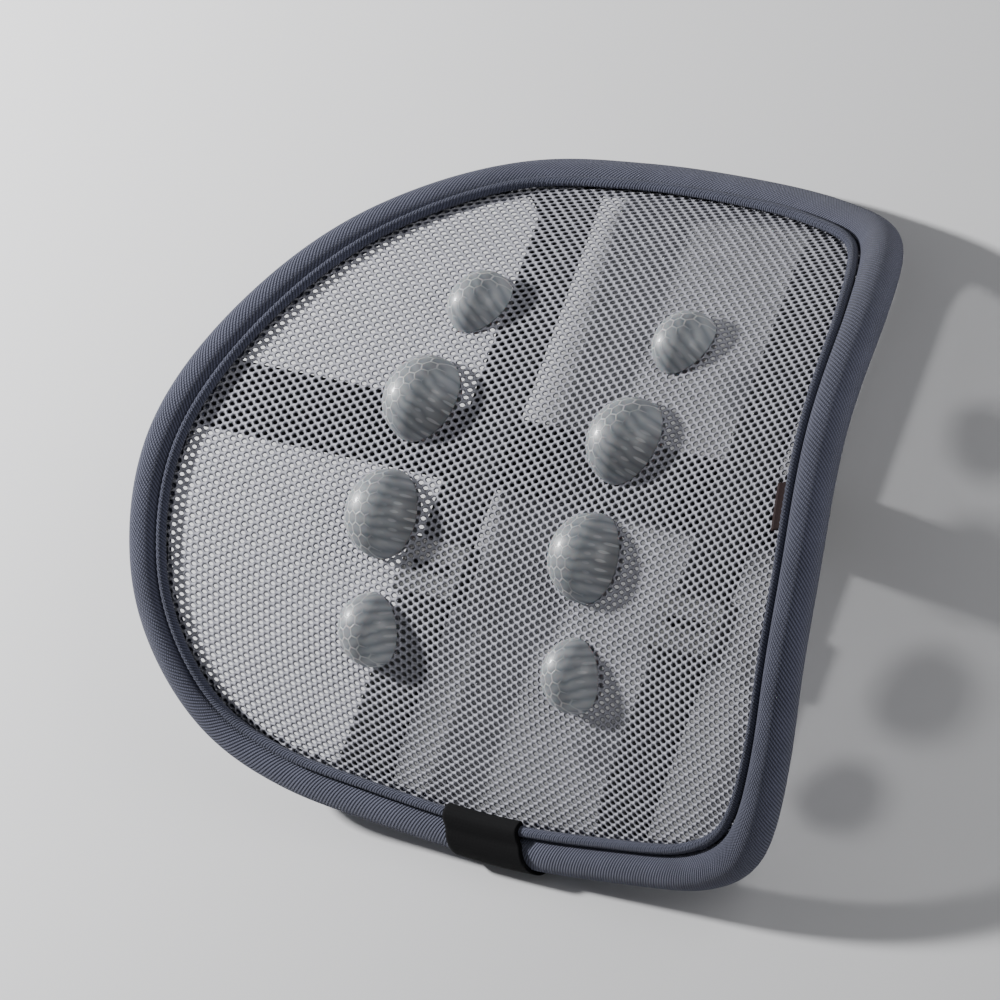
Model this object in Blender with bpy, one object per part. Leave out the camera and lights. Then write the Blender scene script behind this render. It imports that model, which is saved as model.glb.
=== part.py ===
"""Ventilated mesh lumbar support with eight massage domes, lying face up. Metres, +Z up.

X runs across the back, +Y up the back, and +Z is the front. A bent steel ring in a foam sleeve and a
folded fabric edge stretches one mesh panel. Two webbing straps with sliders draw the ring into its bend,
and a third strap runs from side to side behind them, for the chair.
"""
import math

import bmesh
import bpy
import numpy as np
from mathutils import Vector

# The panel is bent to an arc over its height, and its sides come forward a little.
BEND_RADIUS = 0.179
HALF_HEIGHT = 0.165          # from the middle to the top or bottom edge, along the bend
SIDE_RISE = 0.315            # forward rise per squared metre from the middle line
EDGE_HEIGHT = 0.00351        # of the bent surface above the table, at the middle of the top edge
MIDDLE_Y = 0.00126           # of the bend, which centres the whole support over the origin

# Right half of the outer edge from top to bottom: across, and up along the bend.
HALF_OUTLINE = [
    (0.000, 0.1644), (0.060, 0.160), (0.1144, 0.1436), (0.158, 0.0987), (0.1885, 0.0406), (0.2089, -0.017),
    (0.2091, -0.070), (0.1966, -0.1093), (0.1717, -0.1396), (0.1338, -0.1552), (0.080, -0.1613),
    (0.000, -0.1657),
]
STATIONS = 72                # round the ring

# The padded edge: half sizes of its oval, in the panel's plane and across it.
EDGE_HALF_WIDTH = 0.0087
EDGE_HALF_DEPTH = 0.0070
BINDING_THICKNESS = 0.0010
EDGE_LIP = 160               # degrees round the oval from outward to the lips that hold the panel
FIT_GAP = 0.0003
WIRE_RADIUS = 0.00225
FOAM_BORE_RADIUS = 0.0027
FERRULE_RADIUS = 0.0036
FERRULE_HALF_LENGTH = 0.013
PIPING_RADIUS = 0.0021
PIPING_INWARD = 0.0106       # from the wire to the piping, in the panel's plane
PIPING_FORWARD = 0.0032

# The mesh panel, whose edge is held in the slit of the foam.
PANEL_HALF_THICKNESS = 0.0006
PANEL_EDGE_INSET = 0.0140    # from the outer edge
PANEL_RINGS = 9

# Massage domes from top to bottom: place along the bend, radius and height.
DOME_ROWS = [(0.0625, 0.0142, 0.0127), (0.0173, 0.0180, 0.0162), (-0.0304, 0.0180, 0.0162),
             (-0.0765, 0.0150, 0.0135)]
DOME_ACROSS = 0.0646
DOME_SEAT = 0.0012           # of a dome's or a backing's rim from the panel's middle surface
BACKING_THICKNESS = 0.0012
BACKING_INSET = 0.0015       # a backing is this much smaller in radius than its dome

# The folded tab that covers the joint of the ring and its sleeve, at the bottom.
BACK_CENTRE = -0.006         # across, of the tab and of the two straps that draw the bend
TAB_THICKNESS = 0.0014
TAB_GAP = 0.0004
TAB_WIDTH = 0.048

# Webbing behind the panel.
WEBBING_THICKNESS = 0.0016
WEBBING_GAP = 0.0004
BEND_STRAP_WIDTH = 0.032
BEND_STRAP_ACROSS = 0.081    # of each bend strap from their centre
BEND_STRAP_HEIGHT = 0.0225   # middle of the webbing above the table
BEND_STRAP_INSET = 0.0185    # of its ends from the outer edge
BEND_STRAP_LIFT = -0.0030    # of its ends from the panel's middle surface
BEND_STRAP_LEVEL = 0.104     # half the length of the straight middle
BEND_STRAP_EASE = 0.009      # of the curve from the straight middle towards each end
CHAIR_STRAP_WIDTH = 0.030
CHAIR_STRAP_Y = 0.017
CHAIR_STRAP_DRIFT = 0.0127   # the ends sit this much lower down the back than the middle
CHAIR_STRAP_HEIGHT = 0.0076
CHAIR_STRAP_FLAT = 0.100     # half the length of the level middle
CHAIR_STRAP_DRAPE = [(0.108, 0.0076), (0.130, 0.032)]   # pull the curve from the level middle to the edge
CHAIR_STRAP_UNDER = 0.0035   # how far in from the wire the ends sit, under the edge

# A flat sleeve with a slot, on each bend strap.
SLIDER_Y = -0.038
SLIDER_SIZE = (0.040, 0.024, 0.0068)
SLIDER_CLEARANCE = 0.0004
SLIDER_SLOT = (0.024, 0.0045)

# The label beside the piping on the right.
LABEL_AT = 0.0123            # along the bend
LABEL_LENGTH = 0.022
LABEL_INSET = (0.0215, 0.0285)
LABEL_LIFT = (0.0012, 0.0017)

STRAP_SHARES = (-0.5, -0.17, 0.17, 0.5)      # places across a strap, of its width
SHARP_ANGLE = math.radians(40)


# ---- the bent surface and the outline ----

def on_panel(across, along, lift=0.0):
    """The point on the bent surface, lifted off its front, as a Vector."""
    angle = along / BEND_RADIUS
    drop = BEND_RADIUS * math.cos(HALF_HEIGHT / BEND_RADIUS)
    point = Vector((across, BEND_RADIUS * math.sin(angle) + MIDDLE_Y,
                    BEND_RADIUS * math.cos(angle) - drop + SIDE_RISE * across ** 2 + EDGE_HEIGHT))
    return point + lift * panel_normal(across, along)


def panel_normal(across, along):
    """The front normal of the bent surface."""
    angle = along / BEND_RADIUS
    slope = 2 * SIDE_RISE * across
    return Vector((-slope * math.cos(angle), math.sin(angle), math.cos(angle))).normalized()


def outline_points():
    """The whole outline clockwise from the middle of the top edge, without repeating a point."""
    left = [(-across, along) for across, along in reversed(HALF_OUTLINE[1:-1])]
    return np.array(HALF_OUTLINE + left)


def closed_spline(points, samples):
    """Evenly spaced points on the closed Catmull-Rom curve through the points."""
    dense = []
    steps = 40
    for index in range(len(points)):
        a, b, c, d = (points[(index + offset) % len(points)] for offset in (-1, 0, 1, 2))
        for step in range(steps):
            t = step / steps
            dense.append(0.5 * (2 * b + (c - a) * t + (2 * a - 5 * b + 4 * c - d) * t ** 2
                                + (3 * b - a - 3 * c + d) * t ** 3))
    dense = np.array(dense + [dense[0]])
    length = np.concatenate([[0], np.cumsum(np.linalg.norm(np.diff(dense, axis=0), axis=1))])
    targets = np.linspace(0, length[-1], samples, endpoint=False)
    flat = np.stack([np.interp(targets, length, dense[:, axis]) for axis in (0, 1)], axis=1)
    return flat, length[-1]


OUTLINE_SAMPLES = 1440
OUTLINE, OUTLINE_LENGTH = closed_spline(outline_points(), OUTLINE_SAMPLES)
JOINT = 0.5 - BACK_CENTRE / OUTLINE_LENGTH    # part way round, where the ring's ends meet


def edge_point(part_way, inset):
    """The flat point inside the outline, part_way round it from the middle of the top edge."""
    place = part_way * OUTLINE_SAMPLES
    index = math.floor(place)
    blend = place - index
    here, there = OUTLINE[index % OUTLINE_SAMPLES], OUTLINE[(index + 1) % OUTLINE_SAMPLES]
    point = here + (there - here) * blend
    tangent = OUTLINE[(index + 6) % OUTLINE_SAMPLES] - OUTLINE[(index - 5) % OUTLINE_SAMPLES]
    inward = np.array([tangent[1], -tangent[0]]) / np.linalg.norm(tangent)
    return point + inset * inward


def ring_frame(part_way):
    """The wire's middle there, with the directions outward in the panel's plane and forward."""
    flat = edge_point(part_way, EDGE_HALF_WIDTH)
    outer = edge_point(part_way, 0.0)
    middle = on_panel(*flat)
    forward = panel_normal(*flat)
    outward = on_panel(*outer) - middle
    outward = (outward - forward * outward.dot(forward)).normalized()
    return middle, outward, forward


def at_ring(part_way, outward_by, forward_by):
    middle, outward, forward = ring_frame(part_way)
    return middle + outward * outward_by + forward * forward_by


def side_part_way(along):
    """Part way round the outline to the place on the right side at this height."""
    right = OUTLINE[:OUTLINE_SAMPLES // 2]
    return int(np.argmin(np.abs(right[:, 1] - along))) / OUTLINE_SAMPLES


# ---- building meshes ----

def material(name, colour, roughness, metallic=0.0):
    made = bpy.data.materials.get(name) or bpy.data.materials.new(name)
    made.use_nodes = True
    shader = made.node_tree.nodes["Principled BSDF"]
    shader.inputs["Base Color"].default_value = (*colour, 1.0)
    shader.inputs["Roughness"].default_value = roughness
    shader.inputs["Metallic"].default_value = metallic
    return made


def make_object(name, verts, faces, finish, parent, origin=(0.0, 0.0, 0.0)):
    """An object from world points, with its origin where it is asked for."""
    origin = Vector(origin)
    mesh = bpy.data.meshes.new(name)
    mesh.from_pydata([tuple(Vector(vert) - origin) for vert in verts], [], faces)
    body = bmesh.new()
    body.from_mesh(mesh)
    bmesh.ops.recalc_face_normals(body, faces=body.faces)
    body.to_mesh(mesh)
    body.free()
    mesh.shade_smooth()
    mesh.set_sharp_from_angle(angle=SHARP_ANGLE)
    mesh.materials.append(finish)
    made = bpy.data.objects.new(name, mesh)
    bpy.context.collection.objects.link(made)
    made.location = origin
    made.parent = parent
    return made


def loft(rows, closed):
    """Verts and quads of a skin through rows of points, each row a closed loop."""
    count = len(rows[0])
    verts = [point for row in rows for point in row]
    faces = []
    spans = len(rows) if closed else len(rows) - 1
    for row in range(spans):
        after = (row + 1) % len(rows)
        for column in range(count):
            beside = (column + 1) % count
            faces.append((row * count + column, row * count + beside,
                          after * count + beside, after * count + column))
    if not closed:
        faces.append(tuple(range(count)))
        faces.append(tuple((len(rows) - 1) * count + column for column in range(count)))
    return verts, faces


def sweep_round(section, start=0.0, end=1.0):
    """A section of (outward, forward) points swept round the ring, whole or in part."""
    closed = end - start >= 1.0
    places = [station / STATIONS for station in range(2 * STATIONS)]
    if closed:
        places = places[:STATIONS]
    else:
        places = [start] + [place for place in places if start < place < end] + [end]
    rows = [[at_ring(place, outward, forward) for outward, forward in section] for place in places]
    return loft(rows, closed)


def arc(half_width, half_depth, first, last, count):
    """Points on an oval between two angles in degrees; 0 is outward and 90 is forward."""
    angles = np.radians(np.linspace(first, last, count))
    return [(half_width * math.cos(angle), half_depth * math.sin(angle)) for angle in angles]


def band(points, thickness):
    """The closed outline of a strip whose middle line runs through the flat points."""
    points = np.array(points, dtype=float)
    run = np.gradient(points, axis=0)
    run /= np.linalg.norm(run, axis=1)[:, None]
    sideways = np.stack([-run[:, 1], run[:, 0]], axis=1) * thickness / 2
    return [tuple(point) for point in points + sideways] + [tuple(point) for point in (points - sideways)[::-1]]


def round_patch(across, along, rings, segments=16):
    """Verts and faces of a closed round body on the panel from (radius, lift) rings, tip to tip."""
    verts, faces = [], []
    for radius, lift in rings[1:-1]:
        for segment in range(segments):
            angle = 2 * math.pi * segment / segments
            verts.append(on_panel(across + radius * math.cos(angle), along + radius * math.sin(angle), lift))
    for row in range(len(rings) - 3):
        for segment in range(segments):
            beside = (segment + 1) % segments
            faces.append((row * segments + segment, row * segments + beside,
                          (row + 1) * segments + beside, (row + 1) * segments + segment))
    for row, (radius, lift) in ((0, rings[0]), (len(rings) - 3, rings[-1])):
        tip = len(verts)
        verts.append(on_panel(across, along, lift))
        faces += [(row * segments + segment, row * segments + (segment + 1) % segments, tip)
                  for segment in range(segments)]
    return verts, faces


# ---- the pieces ----

def make_wire(parent):
    """The ring, whose ends meet at the bottom."""
    gap = FIT_GAP / OUTLINE_LENGTH
    section = arc(WIRE_RADIUS, WIRE_RADIUS, 0, 315, 8)
    steel = material("spring_steel", (0.55, 0.56, 0.58), 0.35, 1.0)
    make_object("frame_wire", *sweep_round(section, JOINT + gap, JOINT + 1 - gap), steel, parent)


def make_ferrule(parent):
    half = FERRULE_HALF_LENGTH / OUTLINE_LENGTH
    bore = WIRE_RADIUS + FIT_GAP
    outer = arc(FERRULE_RADIUS, FERRULE_RADIUS, 0, 330, 12)
    inner = arc(bore, bore, 0, 330, 12)
    places = [JOINT - half, JOINT, JOINT + half]
    rows = [[at_ring(place, *point) for point in outer] for place in places]
    rows += [[at_ring(place, *point) for point in inner] for place in reversed(places)]
    steel = material("spring_steel", (0.55, 0.56, 0.58), 0.35, 1.0)
    make_object("wire_ferrule", *loft(rows, closed=True), steel, parent)


def make_foam(parent):
    clear = (FERRULE_HALF_LENGTH + 0.0012) / OUTLINE_LENGTH
    inside = BINDING_THICKNESS + FIT_GAP
    outer = arc(EDGE_HALF_WIDTH - inside, EDGE_HALF_DEPTH - inside, -EDGE_LIP, EDGE_LIP, 12)
    bore = arc(FOAM_BORE_RADIUS, FOAM_BORE_RADIUS, 154, -154, 8)
    foam = material("foam", (0.05, 0.05, 0.055), 0.9)
    make_object("foam_sleeve", *sweep_round(outer + bore, JOINT + clear, JOINT + 1 - clear), foam, parent)


def make_binding(parent):
    outer = arc(EDGE_HALF_WIDTH, EDGE_HALF_DEPTH, -EDGE_LIP, EDGE_LIP, 12)
    inner = arc(EDGE_HALF_WIDTH - BINDING_THICKNESS, EDGE_HALF_DEPTH - BINDING_THICKNESS,
                EDGE_LIP, -EDGE_LIP, 12)
    cloth = material("edge_fabric", (0.085, 0.095, 0.14), 0.85)
    make_object("edge_binding", *sweep_round(outer + inner), cloth, parent)


def make_piping(parent):
    section = [(outward - PIPING_INWARD, forward + PIPING_FORWARD)
               for outward, forward in arc(PIPING_RADIUS, PIPING_RADIUS, 0, 315, 8)]
    cloth = material("piping_fabric", (0.075, 0.085, 0.13), 0.85)
    make_object("piping_cord", *sweep_round(section), cloth, parent)


def make_panel(parent):
    """A thin bent sheet, drawn as rings that shrink from the edge to the middle."""
    middle = np.array([0.0, 0.0])
    edge = [edge_point(station / STATIONS, PANEL_EDGE_INSET) for station in range(STATIONS)]
    verts, faces = [], []
    for lift in (PANEL_HALF_THICKNESS, -PANEL_HALF_THICKNESS):
        start = len(verts)
        for ring in range(PANEL_RINGS):
            scale = 1 - ring / PANEL_RINGS
            verts += [on_panel(*(middle + (flat - middle) * scale), lift) for flat in edge]
        verts.append(on_panel(*middle, lift))
        for ring in range(PANEL_RINGS):
            for station in range(STATIONS):
                beside = (station + 1) % STATIONS
                near, far = start + ring * STATIONS, start + (ring + 1) * STATIONS
                if ring == PANEL_RINGS - 1:
                    faces.append((near + station, near + beside, far))
                else:
                    faces.append((near + station, near + beside, far + beside, far + station))
    back = PANEL_RINGS * STATIONS + 1
    for station in range(STATIONS):
        beside = (station + 1) % STATIONS
        faces.append((station, beside, back + beside, back + station))
    mesh_cloth = material("mesh_fabric", (0.22, 0.23, 0.24), 0.8)
    make_object("mesh_panel", verts, faces, mesh_cloth, parent)


def make_domes(parent):
    silicone = material("silicone", (0.30, 0.34, 0.38), 0.35)
    for side, direction in (("left", -1), ("right", 1)):
        for row, (along, radius, height) in enumerate(DOME_ROWS, start=1):
            across = direction * DOME_ACROSS
            rings = [(0.0, DOME_SEAT + height)]
            rings += [(radius * math.cos(math.radians(rise)), DOME_SEAT + height * math.sin(math.radians(rise)))
                      for rise in (66, 42, 20, 0)]
            rings += [(radius * 0.5, DOME_SEAT), (0.0, DOME_SEAT)]
            middle = on_panel(across, along, DOME_SEAT)
            make_object(f"dome_{side}_{row}", *round_patch(across, along, rings), silicone, parent, middle)
            rim = radius - BACKING_INSET
            behind = -DOME_SEAT - BACKING_THICKNESS
            rings = [(0.0, -DOME_SEAT), (rim * 0.5, -DOME_SEAT), (rim, -DOME_SEAT),
                     (rim, behind), (rim * 0.5, behind), (0.0, behind)]
            middle = on_panel(across, along, -DOME_SEAT)
            make_object(f"dome_backing_{side}_{row}", *round_patch(across, along, rings), silicone, parent,
                        middle)


def make_tab(parent):
    """A folded cover over the joint, from the front of the piping, round the outside, to the back."""
    off = TAB_GAP + TAB_THICKNESS / 2
    over_piping = [(-PIPING_INWARD - PIPING_RADIUS - off, PANEL_HALF_THICKNESS + 0.0010),
                   (-PIPING_INWARD - PIPING_RADIUS - off, PIPING_FORWARD),
                   (-PIPING_INWARD - 0.0016, PIPING_FORWARD + PIPING_RADIUS + 0.0006),
                   (-PIPING_INWARD + 0.0012, PIPING_FORWARD + PIPING_RADIUS + 0.0012)]
    round_edge = arc(EDGE_HALF_WIDTH + off, EDGE_HALF_DEPTH + off, 128, -140, 15)
    section = band(over_piping + round_edge, TAB_THICKNESS)
    half = TAB_WIDTH / 2 / OUTLINE_LENGTH
    cloth = material("tab_fabric", (0.010, 0.010, 0.012), 0.75)
    make_object("joint_tab", *sweep_round(section, JOINT - half, JOINT + half), cloth, parent)


def inner_edge_along(across, upward):
    """Height along the bend of the inner side of the padded edge, above or below a place across."""
    inner = np.array([edge_point(step / OUTLINE_SAMPLES, BEND_STRAP_INSET) for step in range(OUTLINE_SAMPLES)])
    inner = inner[inner[:, 1] * upward > 0]
    return inner[np.argmin(np.abs(inner[:, 0] - across)), 1]


def make_bend_strap(side, centre, parent):
    """From the panel's edge at the bottom, straight across behind it, to its edge at the top."""
    rows = []
    for share in STRAP_SHARES:
        across = centre + share * BEND_STRAP_WIDTH
        low, high = (on_panel(across, inner_edge_along(across, upward), BEND_STRAP_LIFT) for upward in (-1, 1))
        ease = BEND_STRAP_LEVEL + BEND_STRAP_EASE
        points = [(low.y, low.z), (-ease, BEND_STRAP_HEIGHT), (-BEND_STRAP_LEVEL, BEND_STRAP_HEIGHT),
                  (BEND_STRAP_LEVEL, BEND_STRAP_HEIGHT), (ease, BEND_STRAP_HEIGHT), (high.y, high.z)]
        rows.append([Vector((across, along, height)) for along, height in band(points, WEBBING_THICKNESS)])
    webbing = material("webbing", (0.012, 0.012, 0.014), 0.8)
    make_object(f"bend_strap_{side}", *loft(rows, closed=False), webbing, parent)


def bezier(a, b, c, d, count):
    values = np.linspace(0, 1, count)
    a, b, c, d = (np.array(point) for point in (a, b, c, d))
    return [tuple(a * (1 - t) ** 3 + 3 * b * t * (1 - t) ** 2 + 3 * c * t ** 2 * (1 - t) + d * t ** 3)
            for t in values]


def make_chair_strap(parent):
    """Slack webbing from under one side of the edge, down below the bend straps, to the other side."""
    off = WEBBING_GAP + WEBBING_THICKNESS
    rows = []
    for share in STRAP_SHARES:
        middle_y = CHAIR_STRAP_Y + share * CHAIR_STRAP_WIDTH
        end_y = middle_y - CHAIR_STRAP_DRIFT
        end = at_ring(side_part_way(end_y), -CHAIR_STRAP_UNDER, -EDGE_HALF_DEPTH - off)
        drape = bezier((CHAIR_STRAP_FLAT, CHAIR_STRAP_HEIGHT), *CHAIR_STRAP_DRAPE, (end.x, end.z), 12)
        points = [(-across, height) for across, height in reversed(drape)] + drape
        row = []
        for across, height in band(points, WEBBING_THICKNESS):
            outer_share = max(0.0, abs(across) - CHAIR_STRAP_FLAT) / (end.x - CHAIR_STRAP_FLAT)
            row.append(Vector((across, middle_y - CHAIR_STRAP_DRIFT * outer_share, height)))
        rows.append(row)
    webbing = material("webbing", (0.012, 0.012, 0.014), 0.8)
    make_object("chair_strap", *loft(rows, closed=False), webbing, parent)


def box_mesh(name, size, centre):
    body = bmesh.new()
    bmesh.ops.create_cube(body, size=1.0)
    bmesh.ops.scale(body, vec=size, verts=body.verts)
    bmesh.ops.translate(body, vec=centre, verts=body.verts)
    mesh = bpy.data.meshes.new(name)
    body.to_mesh(mesh)
    body.free()
    return mesh


def make_slider(side, centre, parent):
    """A flat plastic sleeve on the webbing, with a slot through its front wall."""
    width, length, depth = SLIDER_SIZE
    mesh = box_mesh(f"slider_{side}", SLIDER_SIZE, (0, 0, 0))
    mesh.materials.append(material("slider_plastic", (0.02, 0.02, 0.022), 0.45))
    made = bpy.data.objects.new(f"slider_{side}", mesh)
    bpy.context.collection.objects.link(made)
    made.location = (centre, SLIDER_Y, BEND_STRAP_HEIGHT)
    made.parent = parent
    bevel = made.modifiers.new("rounded", "BEVEL")
    bevel.width = 0.0012
    bevel.segments = 2
    channel = (BEND_STRAP_WIDTH + 2 * SLIDER_CLEARANCE, length * 2, WEBBING_THICKNESS + 2 * SLIDER_CLEARANCE)
    slot = (*SLIDER_SLOT, depth)
    for name, size, middle in (("channel", channel, (0, 0, 0)), ("slot", slot, (0, 0, depth / 2))):
        cutter = bpy.data.objects.new(f"cut_{name}_{side}", box_mesh(f"cut_{name}_{side}", size, middle))
        bpy.context.collection.objects.link(cutter)
        cutter.parent = made
        cutter.hide_render = True
        cutter.display_type = "WIRE"
        cut = made.modifiers.new(name, "BOOLEAN")
        cut.operation = "DIFFERENCE"
        cut.object = cutter


def make_label(parent):
    """A small woven label that lies on the panel beside the piping."""
    at = side_part_way(LABEL_AT)
    half = LABEL_LENGTH / 2 / OUTLINE_LENGTH
    steps = 4
    rows = []
    for step in range(steps + 1):
        place = at - half + 2 * half * step / steps
        near, far = (edge_point(place, inset) for inset in LABEL_INSET)
        rows.append([on_panel(*near, LABEL_LIFT[0]), on_panel(*far, LABEL_LIFT[0]),
                     on_panel(*far, LABEL_LIFT[1]), on_panel(*near, LABEL_LIFT[1])])
    woven = material("label_fabric", (0.05, 0.018, 0.022), 0.7)
    make_object("side_label", *loft(rows, closed=False), woven, parent)


def main():
    for old in list(bpy.data.objects):
        bpy.data.objects.remove(old, do_unlink=True)
    support = bpy.data.objects.new("lumbar_support", None)
    bpy.context.collection.objects.link(support)
    make_wire(support)
    make_ferrule(support)
    make_foam(support)
    make_binding(support)
    make_piping(support)
    make_panel(support)
    make_domes(support)
    make_tab(support)
    for side, direction in (("left", -1), ("right", 1)):
        centre = BACK_CENTRE + direction * BEND_STRAP_ACROSS
        make_bend_strap(side, centre, support)
        make_slider(side, centre, support)
    make_chair_strap(support)
    make_label(support)


main()
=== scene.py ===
"""Visual model of the ventilated mesh lumbar support: stretched net, padded edge, gel domes, straps."""

import math

import bmesh
import bpy
import numpy as np
from mathutils import Matrix, Vector


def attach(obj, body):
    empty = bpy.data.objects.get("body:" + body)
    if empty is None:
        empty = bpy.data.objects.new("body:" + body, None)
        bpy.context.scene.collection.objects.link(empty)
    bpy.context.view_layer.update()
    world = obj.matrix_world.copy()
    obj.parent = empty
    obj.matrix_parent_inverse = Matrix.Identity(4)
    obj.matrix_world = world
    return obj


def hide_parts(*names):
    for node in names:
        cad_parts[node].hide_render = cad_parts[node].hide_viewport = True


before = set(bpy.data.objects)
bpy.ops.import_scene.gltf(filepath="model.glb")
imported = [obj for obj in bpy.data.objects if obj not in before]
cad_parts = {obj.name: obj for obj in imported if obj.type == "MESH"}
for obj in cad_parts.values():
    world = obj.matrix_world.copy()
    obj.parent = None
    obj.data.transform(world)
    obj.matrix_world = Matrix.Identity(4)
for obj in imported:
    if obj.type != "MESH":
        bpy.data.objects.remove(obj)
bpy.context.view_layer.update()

# ---- shape of the support, as in the part's source, in metres ----
BEND_RADIUS = 0.179
HALF_HEIGHT = 0.165
SIDE_RISE = 0.315
EDGE_HEIGHT = 0.00351
MIDDLE_Y = 0.00126
HALF_OUTLINE = [
    (0.000, 0.1644), (0.060, 0.160), (0.1144, 0.1436), (0.158, 0.0987), (0.1885, 0.0406), (0.2089, -0.017),
    (0.2091, -0.070), (0.1966, -0.1093), (0.1717, -0.1396), (0.1338, -0.1552), (0.080, -0.1613),
    (0.000, -0.1657),
]
OUTLINE_SAMPLES = 1440
EDGE_HALF_WIDTH = 0.0087
EDGE_HALF_DEPTH = 0.0070
EDGE_LIP = 160
BINDING_THICKNESS = 0.0010
BINDING_WIDTH = 0.046        # of the binding cloth, round the edge
PIPING_RADIUS = 0.0021
PIPING_INWARD = 0.0106
PIPING_FORWARD = 0.0032
PIPING_RIB_PITCH = 0.0030
PIPING_RIB_DEPTH = 0.07      # of the piping's radius
DOME_ROWS = [(0.0625, 0.0142, 0.0127), (0.0173, 0.0180, 0.0162), (-0.0304, 0.0180, 0.0162),
             (-0.0765, 0.0150, 0.0135)]
DOME_ACROSS = 0.0646
DOME_STREAKS = [-34, -24, 3, 15]     # degrees that the gel's cell walls lean, seen from the front, by row
DOME_SEAT = 0.0012
DOME_ROUND = 0.985           # of the radius is reached by the round part, above the rim
DOME_RIM = 0.0004
DOME_UNDERCUT = 0.99
BACKING_THICKNESS = 0.0012
BACKING_INSET = 0.0015
BACKING_FRONT_BEVEL = 0.0003
BACKING_BACK_BEVEL = 0.0004
BACK_CENTRE = -0.006
TAB_THICKNESS = 0.0014
TAB_GAP = 0.0004
TAB_WIDTH = 0.048
TAB_INNER_END = 0.0016       # forward of the wire, where the tab's inner end is sewn in
TAB_OVER_PIPING = [(-0.0016, 0.0006), (0.0012, 0.0012)]  # outward of the piping's middle, forward of its top
TAB_WRAP = (128, -140)       # degrees round the edge
WEBBING_THICKNESS = 0.0016
WEBBING_GAP = 0.0004
BEND_STRAP_WIDTH = 0.032
BEND_STRAP_ACROSS = 0.081
BEND_STRAP_HEIGHT = 0.0225
BEND_STRAP_INSET = 0.0185
BEND_STRAP_LIFT = -0.0030
BEND_STRAP_LEVEL = 0.104
BEND_STRAP_EASE = 0.009
CHAIR_STRAP_WIDTH = 0.030
CHAIR_STRAP_Y = 0.017
CHAIR_STRAP_DRIFT = 0.0127
CHAIR_STRAP_HEIGHT = 0.0076
CHAIR_STRAP_FLAT = 0.100
CHAIR_STRAP_DRAPE = [(0.108, 0.0076), (0.130, 0.032)]
CHAIR_STRAP_UNDER = 0.0035
LABEL_AT = 0.0123
LABEL_LENGTH = 0.022
LABEL_INSET = (0.0215, 0.0285)
LABEL_LIFT = 0.0015
LABEL_TUCK = 0.0031          # of the label that is sewn in under the piping
LABEL_SINK = 0.0016          # how far it dips there
LABEL_CURL = 0.0010          # how far its free end stands up
LABEL_THICKNESS = 0.0004

# ---- the knitted net ----
NET_ACROSS = 0.0067          # the repeat holds two holes, half a repeat apart both ways
NET_ALONG = 0.00340
HOLE_HALF_WIDTH = 0.00145
HOLE_HALF_FLAT = 0.00060
HOLE_HALF_HEIGHT = 0.00072
NET_RIDGE = 0.00036          # of the yarn above and below the net's middle
NET_INSET = 0.0188           # a cell is kept when its middle is this far inside the outer edge
NET_DOUBLINGS = (6, 7)       # of the repeat, across and along
NET_SEAM = 0.0140            # from the outer edge to where the net is sewn
NET_SWELL = 0.0007           # forward, at a dome's rim
NET_SWELL_REACH = 0.0035
NET_SWELL_UNDER = 0.004      # how far it goes on under the dome
EYE_ACROSS = 0.00205         # from a hole's middle to the yarn's crest
EYE_ALONG = NET_ALONG / 3
TAPE_INSET = (0.0142, 0.0206)
TAPE_BEHIND = 0.0011
TAPE_THICKNESS = 0.0004

# ---- view and light ----
VIEW_AZIMUTH, VIEW_ELEVATION, VIEW_ROLL = 81.652, 38.510, -64.563
VIEW_DISTANCE = 6.0936
VIEW_AIM = (-0.0577, 0.0119)
VIEW_LENS = 554.6


# ---- the bent surface and the outline ----

def panel_points(across, along, lift=0.0):
    """Points on the bent surface, lifted off its front, as an array."""
    across, along, lift = (np.asarray(value, float) for value in (across, along, lift))
    across, along, lift = np.broadcast_arrays(across, along, lift)
    angle = along / BEND_RADIUS
    drop = BEND_RADIUS * math.cos(HALF_HEIGHT / BEND_RADIUS)
    points = np.stack([across, BEND_RADIUS * np.sin(angle) + MIDDLE_Y,
                       BEND_RADIUS * np.cos(angle) - drop + SIDE_RISE * across ** 2 + EDGE_HEIGHT], axis=-1)
    return points + panel_normals(across, along) * lift[..., None]


def panel_normals(across, along):
    angle = along / BEND_RADIUS
    normals = np.stack([-2 * SIDE_RISE * across * np.cos(angle), np.sin(angle), np.cos(angle)], axis=-1)
    return normals / np.linalg.norm(normals, axis=-1, keepdims=True)


def trace_outline():
    """Even points clockwise on the smooth closed outline from the middle of the top, and its length."""
    left = [(-across, along) for across, along in reversed(HALF_OUTLINE[1:-1])]
    points = np.array(HALF_OUTLINE + left)
    t = np.linspace(0, 1, 40, endpoint=False)[:, None]
    a, b, c, d = (np.roll(points, shift, axis=0)[:, None] for shift in (1, 0, -1, -2))
    curve = 0.5 * (2 * b + (c - a) * t + (2 * a - 5 * b + 4 * c - d) * t ** 2
                   + (3 * b - a - 3 * c + d) * t ** 3)
    curve = curve.reshape(-1, 2)
    curve = np.vstack([curve, curve[:1]])
    length = np.concatenate([[0], np.cumsum(np.linalg.norm(np.diff(curve, axis=0), axis=1))])
    targets = np.linspace(0, length[-1], OUTLINE_SAMPLES, endpoint=False)
    return np.stack([np.interp(targets, length, curve[:, axis]) for axis in (0, 1)], axis=1), length[-1]


OUTLINE, OUTLINE_LENGTH = trace_outline()
JOINT = 0.5 - BACK_CENTRE / OUTLINE_LENGTH


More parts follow.
